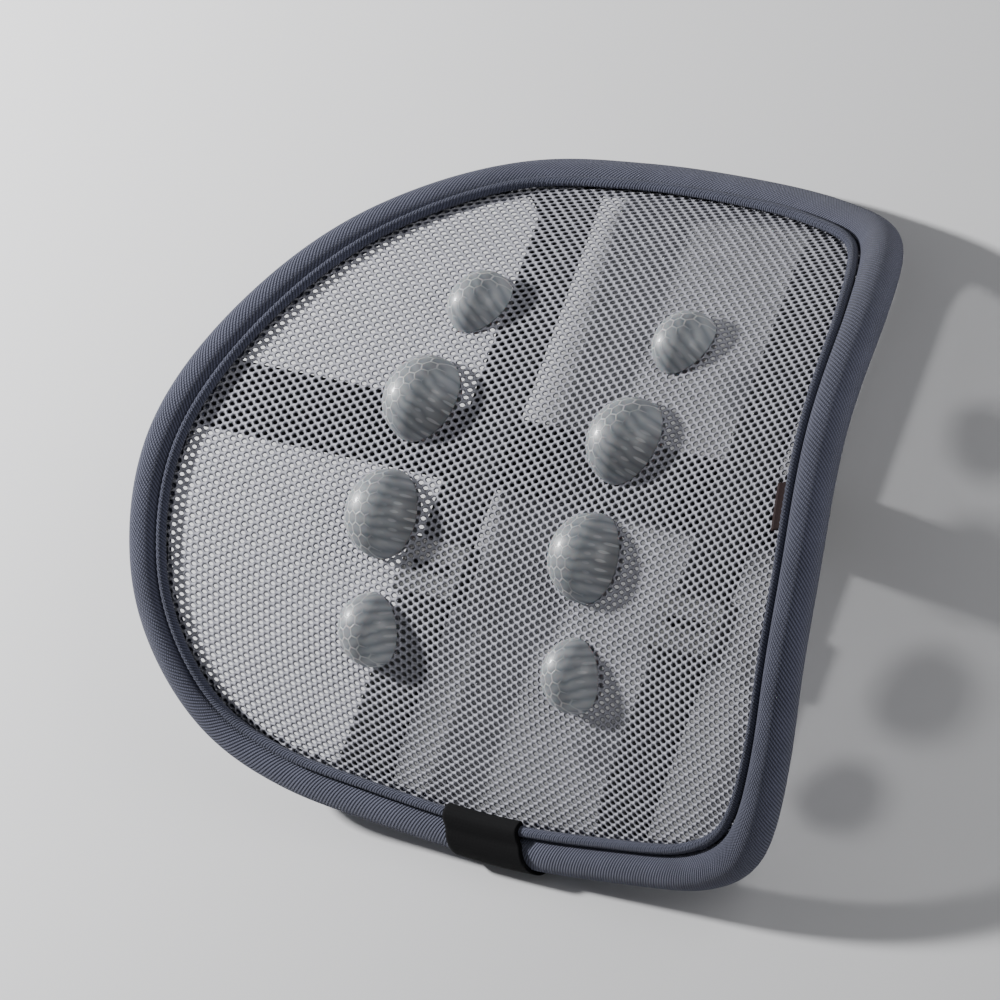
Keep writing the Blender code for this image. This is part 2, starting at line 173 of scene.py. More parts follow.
def edge_points(part_way, inset):
    """Flat points inside the outline, part way round it from the middle of the top edge."""
    place = np.asarray(part_way, float) * OUTLINE_SAMPLES
    index = np.floor(place).astype(int)
    share = (place - index)[..., None]

    def around(offset):
        here = OUTLINE[(index + offset) % OUTLINE_SAMPLES]
        return here + (OUTLINE[(index + offset + 1) % OUTLINE_SAMPLES] - here) * share

    tangent = around(5) - around(-5)
    inward = np.stack([tangent[..., 1], -tangent[..., 0]], axis=-1)
    inward /= np.linalg.norm(inward, axis=-1, keepdims=True)
    return around(0) + np.asarray(inset, float)[..., None] * inward


def at_ring(part_way, outward_by, forward_by):
    """Points beside the wire of the padded edge, out in the panel's plane and forward."""
    part_way, outward_by, forward_by = np.broadcast_arrays(part_way, outward_by, forward_by)
    flat = edge_points(part_way, np.full(part_way.shape, EDGE_HALF_WIDTH))
    outer = edge_points(part_way, np.zeros(part_way.shape))
    middle = panel_points(flat[..., 0], flat[..., 1])
    forward = panel_normals(flat[..., 0], flat[..., 1])
    outward = panel_points(outer[..., 0], outer[..., 1]) - middle
    outward -= forward * (outward * forward).sum(-1, keepdims=True)
    outward /= np.linalg.norm(outward, axis=-1, keepdims=True)
    return middle + outward * outward_by[..., None] + forward * forward_by[..., None]


def side_part_way(along):
    return int(np.argmin(np.abs(OUTLINE[:OUTLINE_SAMPLES // 2, 1] - along))) / OUTLINE_SAMPLES


def inset_of(points):
    """How far flat points are from the outline, nearest way."""
    distances = []
    for start in range(0, len(points), 2000):
        some = points[start:start + 2000, None]
        distances.append(np.sqrt(((some - OUTLINE[None, ::3]) ** 2).sum(-1)).min(axis=1))
    return np.concatenate(distances)


def dome_swell(across, along):
    """How far the net is drawn forward where it meets a dome's rim."""
    swell = np.zeros(np.shape(across))
    for direction in (-1, 1):
        for row_along, radius, _ in DOME_ROWS:
            away = np.hypot(across - direction * DOME_ACROSS, along - row_along) - radius
            fade = np.exp(-(np.maximum(away, 0) / NET_SWELL_REACH) ** 2)
            swell = np.maximum(swell, NET_SWELL * fade * (away > -NET_SWELL_UNDER))
    return swell


# ---- building pieces ----

def finish_piece(name, body, material, smooth=True):
    mesh = bpy.data.meshes.new(name)
    body.to_mesh(mesh)
    body.free()
    if smooth:
        mesh.shade_smooth()
    mesh.materials.append(material)
    piece = bpy.data.objects.new(name, mesh)
    bpy.context.scene.collection.objects.link(piece)
    return piece


def cloth_grid(name, places, lengths, material, thickness=0.0, offset=0.0):
    """A grid laid over an array of points, with its UV map in metres, and a wall if it has a thickness.

    A row or a column that repeats the first one closes the grid on itself."""
    rows, columns = places.shape[:2]
    body = bmesh.new()
    bmesh.ops.create_grid(body, x_segments=columns - 1, y_segments=rows - 1, size=1.0)
    body.verts.ensure_lookup_table()
    layer = body.loops.layers.uv.new("cloth")
    for face in body.faces:
        for loop in face.loops:
            row, column = divmod(loop.vert.index, columns)
            loop[layer].uv = (row / (rows - 1) * lengths[0], column / (columns - 1) * lengths[1])
    for vert, place in zip(body.verts, places.reshape(-1, 3)):
        vert.co = place
    bmesh.ops.remove_doubles(body, verts=body.verts, dist=1e-6)
    bmesh.ops.recalc_face_normals(body, faces=body.faces)
    piece = finish_piece(name, body, material)
    if thickness:
        wall = piece.modifiers.new("wall", "SOLIDIFY")
        wall.thickness = thickness
        wall.offset = offset
    return piece


def around_ring(stations):
    return np.linspace(0.0, 1.0, stations + 1)[:, None]


def oval(half_width, half_depth, first, last, count):
    angles = np.radians(np.linspace(first, last, count))
    return half_width * np.cos(angles), half_depth * np.sin(angles)


# ---- shader groups ----

def add(tree, kind, inputs=None, **settings):
    node = tree.nodes.new(kind)
    for key, value in settings.items():
        setattr(node, key, value)
    for key, value in (inputs or {}).items():
        if isinstance(value, bpy.types.NodeSocket):
            tree.links.new(value, node.inputs[key])
        else:
            node.inputs[key].default_value = value
    return node


def calc(tree, operation, *values):
    return add(tree, "ShaderNodeMath", dict(enumerate(values)), operation=operation).outputs[0]


def noise(tree, place, scale, detail, **more):
    settings = {"Vector": place, "Scale": scale, "Detail": detail, **more}
    return add(tree, "ShaderNodeTexNoise", settings).outputs[0]


def ramp(tree, value, start, end, low, high, **settings):
    """Low where the value is at start, high where it is at end, and no further."""
    return add(tree, "ShaderNodeMapRange", {0: value, 1: start, 2: end, 3: low, 4: high}, **settings).outputs[0]


def vector(tree, operation, *values):
    return add(tree, "ShaderNodeVectorMath", dict(enumerate(values)), operation=operation).outputs[0]


def split(tree, place):
    return add(tree, "ShaderNodeSeparateXYZ", {0: place}).outputs


def new_group(name, inputs, outputs):
    """A shader group and its input node, with float or vector sockets."""
    group = bpy.data.node_groups.new(name, "ShaderNodeTree")
    for socket, value in inputs.items():
        kind = "NodeSocketVector" if value is None else "NodeSocketFloat"
        made = group.interface.new_socket(name=socket, in_out="INPUT", socket_type=kind)
        if value is not None:
            made.default_value = value
    for socket in outputs:
        group.interface.new_socket(name=socket, in_out="OUTPUT", socket_type="NodeSocketFloat")
    return group, group.nodes.new("NodeGroupInput")


def close_group(group, **outputs):
    ends = group.nodes.new("NodeGroupOutput")
    for socket, value in outputs.items():
        group.links.new(value, ends.inputs[socket.replace("_", " ")])
    return group


def ridge(tree, value):
    """1 in the middle of each whole number's span and 0 at its ends, rounded."""
    return calc(tree, "SINE", calc(tree, "MULTIPLY", calc(tree, "FRACT", value), math.pi))


def make_twill_group():
    """Diagonal ribs crossed by finer threads."""
    group, given = new_group("twill_weave", {"Place": None, "Pitch": 0.001, "Slant": 1.0},
                             ["Height", "Shade"])
    place = given.outputs["Place"]
    axes = split(group, place)
    u = calc(group, "DIVIDE", axes[0], given.outputs["Pitch"])
    v = calc(group, "DIVIDE", axes[1], given.outputs["Pitch"])
    rib = ridge(group, calc(group, "ADD", u, calc(group, "MULTIPLY", v, given.outputs["Slant"])))
    thread = calc(group, "SUBTRACT", calc(group, "MULTIPLY", v, 1.6), calc(group, "MULTIPLY", u, 0.8))
    thread = ridge(group, thread)
    height = calc(group, "MULTIPLY", rib, calc(group, "MULTIPLY_ADD", thread, 0.45, 0.55))
    fuzz = noise(group, place, 900.0, 2.0)
    blotch = noise(group, place, 60.0, 2.0)
    shade = calc(group, "MULTIPLY_ADD", fuzz, 0.30, calc(group, "MULTIPLY", height, 0.55))
    shade = calc(group, "MULTIPLY_ADD", blotch, 0.25, shade)
    return close_group(group, Height=height, Shade=shade)


def make_rib_group():
    """Webbing: ribs across the strap, and rows of stitches along it."""
    group, given = new_group("webbing_ribs", {"Place": None, "Pitch": 0.0015}, ["Height", "Shade"])
    axes = split(group, given.outputs["Place"])
    u = calc(group, "DIVIDE", axes[0], given.outputs["Pitch"])
    v = calc(group, "DIVIDE", axes[1], given.outputs["Pitch"])
    rib = ridge(group, u)
    row = ridge(group, calc(group, "MULTIPLY", v, 0.7))
    height = calc(group, "MULTIPLY", rib, calc(group, "MULTIPLY_ADD", row, 0.35, 0.65))
    fuzz = noise(group, given.outputs["Place"], 1200.0, 2.0)
    shade = calc(group, "MULTIPLY_ADD", fuzz, 0.5, calc(group, "MULTIPLY", height, 0.5))
    return close_group(group, Height=height, Shade=shade)


def nearest_cell(group, place, repeat):
    """Place measured from the middle of the nearest cell, for two grids of cells set half a repeat apart."""
    half = (repeat[0] / 2, repeat[1] / 2, 0.0)

    def centred(shift):
        wrapped = vector(group, "WRAP", vector(group, "ADD", place, shift), (*repeat, 1.0), (0, 0, 0))
        return split(group, vector(group, "ABSOLUTE", vector(group, "SUBTRACT", wrapped, half)))

    return centred(half), centred((0, 0, 0))


def make_eyes_group():
    """How far a place on the net is from the middle of its nearest hole: 1 is on the yarn's crest."""
    group, given = new_group("net_eyes", {"Place": None}, ["Away"])
    ways = []
    for cell in nearest_cell(group, given.outputs["Place"], (NET_ACROSS, NET_ALONG)):
        x = calc(group, "POWER", calc(group, "DIVIDE", cell[0], EYE_ACROSS), 2.0)
        y = calc(group, "POWER", calc(group, "DIVIDE", cell[1], EYE_ALONG), 2.0)
        ways.append(calc(group, "SQRT", calc(group, "ADD", x, y)))
    return close_group(group, Away=calc(group, "MINIMUM", *ways))


def make_yarn_group(eyes):
    """Yarn that is twisted, with painted shade that darkens it towards each hole's rim, so that it is brightest
    along the ridges between the holes.
    """
    group, given = new_group("knit_yarn", {"Place": None}, ["Height", "Shade"])
    place = given.outputs["Place"]
    axes = split(group, place)
    u = calc(group, "DIVIDE", axes[0], NET_ACROSS / 2)
    v = calc(group, "DIVIDE", axes[1], NET_ALONG / 2)
    twist = ridge(group, calc(group, "ADD", calc(group, "MULTIPLY", u, 4.0), calc(group, "MULTIPLY", v, 2.0)))
    hole = add(group, "ShaderNodeGroup", node_tree=eyes)
    group.links.new(place, hole.inputs["Place"])
    # painted shade: 0 at a hole's rim, where the yarn's colour is darkened most, and 1 on the crest between
    # holes
    crest = ramp(group, hole.outputs["Away"], 0.72, 1.02, 0.0, 1.0, interpolation_type="SMOOTHSTEP")
    fuzz = noise(group, place, 1500.0, 3.0)
    uneven = noise(group, place, 110.0, 3.0)
    height = calc(group, "MULTIPLY_ADD", fuzz, 0.4, calc(group, "MULTIPLY", twist, 0.6))
    shade = calc(group, "MULTIPLY_ADD", twist, 0.25, calc(group, "MULTIPLY", fuzz, 0.35))
    shade = calc(group, "MULTIPLY_ADD", uneven, 0.30, shade)
    # painted shade: the yarn's colour is multiplied down towards the holes' rims and lifted on the crests
    shade = calc(group, "MULTIPLY", shade, calc(group, "MULTIPLY_ADD", crest, 0.95, 0.25))
    return close_group(group, Height=height, Shade=shade)


def make_honeycomb_group():
    """Six-sided cells inside the gel: their outlines, and their walls seen aslant as streaks along X."""
    group, given = new_group("honeycomb_gel", {"Place": None, "Pitch": 0.0046}, ["Walls", "Streaks"])
    pitches = add(group, "ShaderNodeCombineXYZ", {axis: given.outputs["Pitch"] for axis in (0, 1, 2)})
    scaled = vector(group, "DIVIDE", given.outputs["Place"], pitches.outputs[0])
    ways = []
    for cell in nearest_cell(group, scaled, (1.0, math.sqrt(3))):
        slant = calc(group, "MULTIPLY_ADD", cell[0], 0.5, calc(group, "MULTIPLY", cell[1], math.sqrt(3) / 2))
        ways.append(calc(group, "MAXIMUM", cell[0], slant))
    away = calc(group, "MINIMUM", *ways)
    walls = ramp(group, away, 0.41, 0.47, 0.0, 1.0, interpolation_type="SMOOTHSTEP")
    drift = noise(group, scaled, 0.8, 1.0)
    across = split(group, scaled)[1]
    bands = ridge(group, calc(group, "MULTIPLY_ADD", drift, 0.9, calc(group, "MULTIPLY", across, 1.155)))
    wisps = noise(group, vector(group, "MULTIPLY", scaled, (0.30, 1.6, 1.0)), 1.0, 2.5, Roughness=0.55)
    streaks = calc(group, "MULTIPLY", calc(group, "POWER", bands, 1.3),
                   calc(group, "MULTIPLY_ADD", wisps, 0.9, 0.45))
    return close_group(group, Walls=walls, Streaks=streaks)


EYES = make_eyes_group()
GROUPS = {"twill": make_twill_group(), "ribs": make_rib_group(), "yarn": make_yarn_group(EYES),
          "honeycomb": make_honeycomb_group()}


# ---- materials ----

def start_material(name, **constants):
    material = bpy.data.materials.new(name)
    material.use_nodes = True
    tree = material.node_tree
    shader = tree.nodes["Principled BSDF"]
    for key, value in constants.items():
        shader.inputs[key.replace("_", " ")].default_value = value
    return material, tree, shader


def place_of(tree, uv_name="cloth"):
    return add(tree, "ShaderNodeUVMap", uv_map=uv_name).outputs[0]


def blend_colours(tree, factor, dark, light):
    """Each of the two is a colour or the socket that gives one."""
    dark, light = (colour if isinstance(colour, bpy.types.NodeSocket) else (*colour, 1.0)
                   for colour in (dark, light))
    return add(tree, "ShaderNodeMix", {0: factor, 6: dark, 7: light}, data_type="RGBA").outputs[2]


def raise_surface(tree, shader, height, depth):
    bump = add(tree, "ShaderNodeBump", {"Height": height, "Strength": 1.0, "Distance": depth})
    tree.links.new(bump.outputs[0], shader.inputs["Normal"])


def patterned(name, group, dark, light, depth, roughness, settings=None, **constants):
    """A cloth whose colour, roughness and relief all come from one weave group."""
    material, tree, shader = start_material(name, **constants)
    weave = add(tree, "ShaderNodeGroup", node_tree=GROUPS[group])
    tree.links.new(place_of(tree), weave.inputs["Place"])
    for key, value in (settings or {}).items():
        weave.inputs[key].default_value = value
    tree.links.new(blend_colours(tree, weave.outputs["Shade"], dark, light), shader.inputs["Base Color"])
    tree.links.new(ramp(tree, weave.outputs["Shade"], 0.0, 1.0, *roughness), shader.inputs["Roughness"])
    raise_surface(tree, shader, weave.outputs["Height"], depth)
    return material


def make_gel(name):
    """Milky gel over its cells, with painted light: on the far side, which faces the light, their outlines are
    painted bright as a highlight; the near side is darkened with painted shade, and its rim shows the net as
    dots.
    """
    material, tree, shader = start_material(
        name, Subsurface_Weight=0.25, Subsurface_Scale=0.004, Coat_Weight=0.08, Coat_Roughness=0.12, IOR=1.36)
    cells = add(tree, "ShaderNodeGroup", node_tree=GROUPS["honeycomb"])
    place = place_of(tree, "gel")
    tree.links.new(place, cells.inputs["Place"])
    towards = split(tree, place)[0]
    # painted highlight and shade: one mask rises towards the far side, which faces the light, the other towards
    # the near side, away from it
    painted_lit_side = ramp(tree, towards, 0.009, 0.002, 0.0, 1.0)
    painted_shade_side = ramp(tree, towards, 0.009, 0.0175, 0.0, 1.0)
    # painted highlight: the cells' outlines are brightened almost only on the far side
    outlines = calc(tree, "MULTIPLY", cells.outputs["Walls"],
                    calc(tree, "MULTIPLY_ADD", painted_lit_side, 0.85, 0.03))
    streaks = calc(tree, "MULTIPLY", cells.outputs["Streaks"],
                   calc(tree, "MULTIPLY_ADD", painted_lit_side, -0.14, 0.34))
    cloud = noise(tree, place, 90.0, 2.0)
    hole = add(tree, "ShaderNodeGroup", node_tree=EYES)
    tree.links.new(place_of(tree), hole.inputs["Place"])
    dots = ramp(tree, hole.outputs["Away"], 0.60, 0.40, 0.0, 0.30)
    milk_and_painted_light = calc(tree, "MAXIMUM", outlines, calc(tree, "MULTIPLY_ADD", cloud, 0.22, streaks))
    # painted shade: the milky pattern is dimmed towards the near side
    milk_and_painted_light = calc(tree, "MULTIPLY", milk_and_painted_light, calc(tree, "MULTIPLY_ADD", painted_shade_side, -0.75, 1.0))
    milk_and_painted_light = calc(tree, "MULTIPLY_ADD", dots, painted_shade_side, milk_and_painted_light)
    # painted shade: the base colour darkens towards the near side
    painted_shade_base = blend_colours(tree, painted_shade_side, (0.150, 0.170, 0.198), (0.085, 0.089, 0.099))
    tree.links.new(blend_colours(tree, milk_and_painted_light, painted_shade_base, (0.62, 0.63, 0.63)), shader.inputs["Base Color"])
    tree.links.new(ramp(tree, milk_and_painted_light, 0.0, 1.0, 0.46, 0.34), shader.inputs["Roughness"])
    raise_surface(tree, shader, milk_and_painted_light, 0.00010)
    return material


def make_solid(name, dark, light, scale, roughness, depth, **constants):
    """Moulded, drawn or foamed stuff, varied by noise over the piece."""
    material, tree, shader = start_material(name, **constants)
    place = add(tree, "ShaderNodeTexCoord").outputs["Object"]
    grain = noise(tree, place, scale, 4.0)
    tree.links.new(blend_colours(tree, grain, dark, light), shader.inputs["Base Color"])
    tree.links.new(ramp(tree, grain, 0.0, 1.0, *roughness), shader.inputs["Roughness"])
    raise_surface(tree, shader, grain, depth)
    return material


binding_cloth = patterned("binding_twill", "twill", (0.008, 0.009, 0.016), (0.142, 0.150, 0.218), 0.00055,
                          (0.95, 0.85), {"Pitch": 0.00185}, Sheen_Weight=0.08, Sheen_Roughness=0.5,
                          Specular_IOR_Level=0.25)
piping_cloth = patterned("piping_twill", "twill", (0.006, 0.007, 0.013), (0.105, 0.113, 0.170), 0.00045,
                         (0.95, 0.85), {"Pitch": 0.00150, "Slant": 0.7}, Sheen_Weight=0.08,
                         Sheen_Roughness=0.5, Specular_IOR_Level=0.25)
net_yarn = patterned("net_yarn", "yarn", (0.032, 0.034, 0.043), (0.72, 0.72, 0.82), 0.00018,
                     (0.88, 0.66), Sheen_Weight=0.15, Sheen_Roughness=0.4, Specular_IOR_Level=0.35)
strap_cloth = patterned("strap_webbing", "ribs", (0.003, 0.003, 0.004), (0.018, 0.019, 0.022), 0.00020,
                        (0.95, 0.85), Sheen_Weight=0.03, Specular_IOR_Level=0.2)
tab_cloth = patterned("tab_cloth", "ribs", (0.0012, 0.0012, 0.0016), (0.0050, 0.0050, 0.0062), 0.00006,
                      (0.96, 0.88), {"Pitch": 0.0009}, Specular_IOR_Level=0.12)
label_cloth = patterned("label_satin", "ribs", (0.006, 0.002, 0.002), (0.030, 0.007, 0.008), 0.00006,
                        (0.88, 0.74), {"Pitch": 0.0006}, Specular_IOR_Level=0.15)
gel = make_gel("dome_gel")
slider_plastic = make_solid("slider_plastic", (0.006, 0.006, 0.007), (0.018, 0.018, 0.020), 900.0,
                            (0.60, 0.45), 0.00004)
spring_steel = make_solid("spring_steel", (0.42, 0.43, 0.45), (0.62, 0.63, 0.65), 350.0,
                          (0.42, 0.26), 0.00002, Metallic=1.0)
sleeve_foam = make_solid("sleeve_foam", (0.020, 0.020, 0.023), (0.075, 0.075, 0.082), 1400.0,
                         (0.98, 0.88), 0.0003)


# ---- the pieces ----

def keep(piece, replaces=()):
    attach(piece, "support")
    if replaces:
        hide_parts(*replaces)
    return piece


def duplicate_all(body):
    """The new vertices and the new faces."""
    made = bmesh.ops.duplicate(body, geom=body.verts[:] + body.edges[:] + body.faces[:])["geom"]
    return [[item for item in made if isinstance(item, kind)]
            for kind in (bmesh.types.BMVert, bmesh.types.BMFace)]


def copy_across(body, step, times):
    """Doubles what is there, a number of times, along a step."""
    for time in range(times):
        bmesh.ops.translate(body, verts=duplicate_all(body)[0], vec=step * 2 ** time)


def make_net():
    """The net is six-sided cells with eye-shaped holes; its yarn swells to a ridge between the holes."""
    side = (NET_ACROSS ** 2 + NET_ALONG ** 2) / 4 / NET_ACROSS
    corner = NET_ACROSS / 2 - side
    shape = [(side, 0), (corner, 1), (-corner, 1), (-side, 0), (-corner, -1), (corner, -1)]
    body = bmesh.new()
    for across, along in ((0, 0), (NET_ACROSS / 2, NET_ALONG / 2)):
        made = bmesh.ops.create_circle(body, cap_ends=True, segments=6, radius=1.0)
        for vert, (x, row) in zip(made["verts"], shape):
            vert.co = (x + across, row * NET_ALONG / 2 + along, 0)
    copy_across(body, Vector((NET_ACROSS, 0, 0)), NET_DOUBLINGS[0])
    copy_across(body, Vector((0, NET_ALONG, 0)), NET_DOUBLINGS[1])
    before_middle = [(2 ** times - 1) / 2 for times in NET_DOUBLINGS]
    bmesh.ops.translate(body, verts=body.verts,
                        vec=(-before_middle[0] * NET_ACROSS, -before_middle[1] * NET_ALONG, 0))
    middles = np.array([face.calc_center_median()[:2] for face in body.faces])
    reach = inset_of(middles)
    inside = np.array([point_in_outline(*middle) for middle in middles])
    outer = [face for face, far, held in zip(body.faces, reach, inside) if not held or far < NET_INSET]
    bmesh.ops.delete(body, geom=outer, context="FACES")
    bmesh.ops.remove_doubles(body, verts=body.verts, dist=0.0001)
    knots = list(body.verts)
    holes = list(body.faces)
    centres = [face.calc_center_median() for face in holes]
    bmesh.ops.inset_individual(body, faces=holes, thickness=0.0003, use_even_offset=False)
    for face, centre in zip(holes, centres):
        for vert in face.verts:
            away = vert.co - centre
            if abs(away.y) < 0.0004:
                away = Vector((math.copysign(HOLE_HALF_WIDTH, away.x), 0, 0))
            else:
                away = Vector((math.copysign(HOLE_HALF_FLAT, away.x),
                               math.copysign(HOLE_HALF_HEIGHT, away.y), 0))
            vert.co = centre + away
    bmesh.ops.delete(body, geom=holes, context="FACES_ONLY")
    for vert in knots:
        vert.co.z = NET_RIDGE
    back, back_faces = duplicate_all(body)
    for vert in back:
        vert.co.z = -vert.co.z
    bmesh.ops.reverse_faces(body, faces=back_faces)
    bmesh.ops.remove_doubles(body, verts=body.verts, dist=1e-5)
    bmesh.ops.bridge_loops(body, edges=[edge for edge in body.edges if edge.is_boundary])
    layer = body.loops.layers.uv.new("cloth")
    for face in body.faces:
        for loop in face.loops:
            loop[layer].uv = loop.vert.co.xy
    flat = np.array([vert.co for vert in body.verts])
    places = panel_points(flat[:, 0], flat[:, 1], flat[:, 2] + dome_swell(flat[:, 0], flat[:, 1]))
    for vert, place in zip(body.verts, places):
        vert.co = place
    bmesh.ops.recalc_face_normals(body, faces=body.faces)
    return finish_piece("mesh_net", body, net_yarn)


def point_in_outline(across, along):
    """Whether a flat point is inside the outline, by counting crossings above it."""
    x, y = OUTLINE[:, 0], OUTLINE[:, 1]
    next_x, next_y = np.roll(x, -1), np.roll(y, -1)
    spans = (x > across) != (next_x > across)
    crossing = y + (across - x) / np.where(next_x == x, 1e-12, next_x - x) * (next_y - y)
    return bool(np.count_nonzero(spans & (crossing > along)) % 2)


def make_round_piece(name, across, along, rings, material, streak):
    """A round body on the panel from (radius, lift) rings, with a gel UV map turned along its streaks."""
    body = bmesh.new()
    profile = [body.verts.new((radius, 0, lift)) for radius, lift in rings]
    edges = [body.edges.new(pair) for pair in zip(profile, profile[1:])]
    bmesh.ops.spin(body, geom=profile + edges, cent=(0, 0, 0), axis=(0, 0, 1), angle=2 * math.pi, steps=72,
                   use_merge=True)
    bmesh.ops.remove_doubles(body, verts=body.verts, dist=1e-6)
    bmesh.ops.recalc_face_normals(body, faces=body.faces)
    layer = body.loops.layers.uv.new("gel")
    on_net = body.loops.layers.uv.new("cloth")
    turn = Matrix.Rotation(-streak, 2)
    for face in body.faces:
        for loop in face.loops:
            loop[layer].uv = turn @ Vector((loop.vert.co.x, loop.vert.co.y))
            loop[on_net].uv = (loop.vert.co.x + across, loop.vert.co.y + along)
    flat = np.array([vert.co for vert in body.verts])
    for vert, place in zip(body.verts, panel_points(flat[:, 0] + across, flat[:, 1] + along, flat[:, 2])):
        vert.co = place
    return finish_piece(name, body, material)


def make_domes():
    """Eight gel domes on the front of the net, each with its round backing behind."""
    for side, direction in (("left", -1), ("right", 1)):
        for row, (along, radius, height) in enumerate(DOME_ROWS, start=1):
            across = direction * DOME_ACROSS
            streak = math.radians(DOME_STREAKS[row - 1])
            rise = np.radians(np.linspace(90, 4, 20))
            rings = [(0.0, DOME_SEAT + height)]
            rings += [(radius * DOME_ROUND * math.cos(a), DOME_SEAT + height * math.sin(a)) for a in rise[1:]]
            rings += [(radius, DOME_SEAT + DOME_RIM), (radius * DOME_UNDERCUT, DOME_SEAT), (0.0, DOME_SEAT)]
            dome = make_round_piece(f"gel_dome_{side}_{row}", across, along, rings, gel, streak)
            keep(dome, replaces=[f"dome_{side}_{row}"])
            rim = radius - BACKING_INSET
            top, behind = -DOME_SEAT, -DOME_SEAT - BACKING_THICKNESS
            rings = [(0.0, top), (rim - BACKING_FRONT_BEVEL, top), (rim, top - BACKING_FRONT_BEVEL),
                     (rim, behind + BACKING_BACK_BEVEL), (rim - BACKING_BACK_BEVEL, behind), (0.0, behind)]
            backing = make_round_piece(f"gel_backing_{side}_{row}", across, along, rings, gel, streak)
            keep(backing, replaces=[f"dome_backing_{side}_{row}"])


def make_edge():
    """The padded edge's cloth, the piping on its inner side, and the seam tape behind the net."""
    outward, forward = oval(EDGE_HALF_WIDTH, EDGE_HALF_DEPTH, -EDGE_LIP, EDGE_LIP, 41)
    way = around_ring(480)
    binding = cloth_grid("edge_cover", at_ring(way, outward, forward), (OUTLINE_LENGTH, BINDING_WIDTH),
                         binding_cloth, BINDING_THICKNESS, -1.0)
    keep(binding, replaces=["edge_binding"])

    way = around_ring(1200)
    angles = np.radians(np.linspace(0, 360, 15))[None]
    count = round(OUTLINE_LENGTH / PIPING_RIB_PITCH)
    ribs = 1 + PIPING_RIB_DEPTH * np.sin(2 * math.pi * count * way + 2 * angles)
    radius = PIPING_RADIUS * ribs
    places = at_ring(way, radius * np.cos(angles) - PIPING_INWARD, radius * np.sin(angles) + PIPING_FORWARD)
    piping = cloth_grid("piping_welt", places, (OUTLINE_LENGTH, 2 * math.pi * PIPING_RADIUS), piping_cloth)
    keep(piping, replaces=["piping_cord"])

    flat = edge_points(*np.broadcast_arrays(around_ring(360), np.linspace(*TAPE_INSET, 4)[None]))
    tape = cloth_grid("seam_tape", panel_points(flat[..., 0], flat[..., 1], -TAPE_BEHIND),
                      (OUTLINE_LENGTH, TAPE_INSET[1] - TAPE_INSET[0]), piping_cloth, TAPE_THICKNESS)
    keep(tape)
    return tape


def bent_line(points, step=0.002):
    """Even points on a smooth line through the points, rounded at its bends, and its length."""
    points = np.array(points, float)
    for _ in range(3):
        cut = [points[:1]]
        for here, there in zip(points, points[1:]):
            cut.append(np.array([here * 0.75 + there * 0.25, here * 0.25 + there * 0.75]))
        points = np.vstack(cut + [points[-1:]])
    length = np.concatenate([[0], np.cumsum(np.linalg.norm(np.diff(points, axis=0), axis=1))])
    targets = np.linspace(0, length[-1], max(8, int(length[-1] / step)))
    line = [np.interp(targets, length, points[:, axis]) for axis in range(points.shape[1])]
    return np.stack(line, axis=1), length[-1]


def strap_grid(name, line_at, width, material, thickness, count, step=0.002):
    """A strap whose middle line is given for each place across its width, from -0.5 to 0.5."""
    shares = np.linspace(-0.5, 0.5, count)
    lines = [bent_line(line_at(share), step) for share in shares]
    length = lines[count // 2][1]
    rows = min(len(line) for line, _ in lines)
    even = [line[np.round(np.linspace(0, len(line) - 1, rows)).astype(int)] for line, _ in lines]
    return cloth_grid(name, np.stack(even, axis=1), (length, width), material, thickness), length


def inner_edge_along(across, upward):
    steps = np.arange(OUTLINE_SAMPLES) / OUTLINE_SAMPLES
    inner = edge_points(steps, np.full(OUTLINE_SAMPLES, BEND_STRAP_INSET))
    inner = inner[inner[:, 1] * upward > 0]
    return inner[np.argmin(np.abs(inner[:, 0] - across)), 1]


def make_straps():
    for side, direction in (("left", -1), ("right", 1)):
        centre = BACK_CENTRE + direction * BEND_STRAP_ACROSS

        def bend_line(share):
            across = centre + share * BEND_STRAP_WIDTH
            low, high = (panel_points(across, inner_edge_along(across, upward), BEND_STRAP_LIFT)
                         for upward in (-1, 1))
            ease = BEND_STRAP_LEVEL + BEND_STRAP_EASE
            level = [(across, along, BEND_STRAP_HEIGHT)
                     for along in (-ease, -BEND_STRAP_LEVEL, BEND_STRAP_LEVEL, ease)]
            return [low, *level, high]

        strap, length = strap_grid(f"bend_webbing_{side}", bend_line, BEND_STRAP_WIDTH, strap_cloth,
                                   WEBBING_THICKNESS, 9)
        keep(strap, replaces=[f"bend_strap_{side}"])

    off = WEBBING_GAP + WEBBING_THICKNESS

    def chair_line(share):
        middle_y = CHAIR_STRAP_Y + share * CHAIR_STRAP_WIDTH
        end_y = middle_y - CHAIR_STRAP_DRIFT
        way = np.array(side_part_way(end_y))
        end = at_ring(way, np.array(-CHAIR_STRAP_UNDER), np.array(-EDGE_HALF_DEPTH - off))
        t = np.linspace(0, 1, 12)[:, None]
        a, b, c, d = (np.array(point) for point in ((CHAIR_STRAP_FLAT, CHAIR_STRAP_HEIGHT),
                                                    *CHAIR_STRAP_DRAPE, (end[0], end[2])))
        drape = a * (1 - t) ** 3 + 3 * b * t * (1 - t) ** 2 + 3 * c * t ** 2 * (1 - t) + d * t ** 3
        sideways = end[0] - CHAIR_STRAP_FLAT
        right = [(x, middle_y - CHAIR_STRAP_DRIFT * (x - CHAIR_STRAP_FLAT) / sideways, z) for x, z in drape]
        return [(-x, y, z) for x, y, z in reversed(right)] + right

    strap, length = strap_grid("chair_webbing", chair_line, CHAIR_STRAP_WIDTH, strap_cloth,
                               WEBBING_THICKNESS, 9)
    keep(strap, replaces=["chair_strap"])


